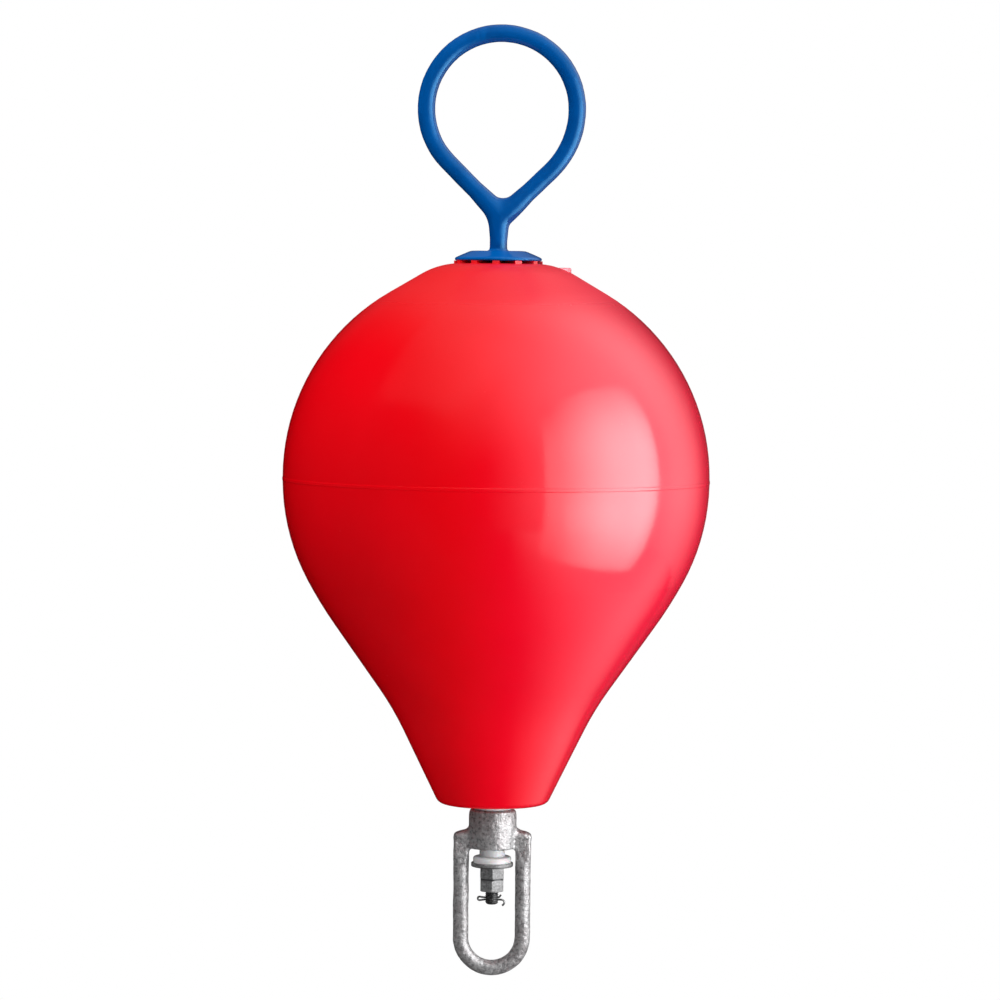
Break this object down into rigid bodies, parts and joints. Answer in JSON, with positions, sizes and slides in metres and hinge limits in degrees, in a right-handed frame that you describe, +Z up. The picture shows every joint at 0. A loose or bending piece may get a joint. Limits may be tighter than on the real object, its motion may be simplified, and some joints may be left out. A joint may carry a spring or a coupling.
{
  "type": "inflatable mooring buoy with swivel eye",
  "caption": "Teardrop vinyl float on a steel rod with a coated lifting eye on top and a forged swivel eye below for the mooring chain.",
  "frame": {"origin": "on the rod's axis near the float's widest part, 5.5 mm under its moulded parting line, which is about the waterline of the loaded buoy", "axes": "+Z up along the rod to the lifting eye; the eye and the swivel eye lie in the XZ plane at rest"},
  "size_m": [0.4454, 0.4452, 0.9929],
  "materials": {
    "red_vinyl": "glossy moulded soft vinyl with a faint parting bead",
    "valve_vinyl": "pale, slightly see-through soft plug",
    "blue_coat": "thick dipped plastic coat, glossy; the rod under the flange is bare galvanised steel",
    "nylon": "turned white nylon",
    "galvanised_forging": "hot-dip galvanised rough forging, mottled",
    "galvanised_steel": "hot-dip galvanised, mottled",
    "pin_steel": "drawn wire"
  },
  "bodies": {
    "buoy": {"float": "red_vinyl", "valve_plug": "valve_vinyl", "flange": "blue_coat", "eye_rod": "blue_coat", "upper_bushing": "nylon", "lower_bushing": "nylon", "washer": "galvanised_steel", "nut": "galvanised_steel", "lock_nut": "galvanised_steel", "split_pin": "pin_steel"},
    "swivel": {"swivel_eye": "galvanised_forging"}
  },
  "joints": [
    {"name": "swivel_turn", "type": "hinge", "parent": "buoy", "child": "swivel", "pos_m": [0, 0, -0.36], "axis": [0, 0, 1], "continuous": true}
  ]
}
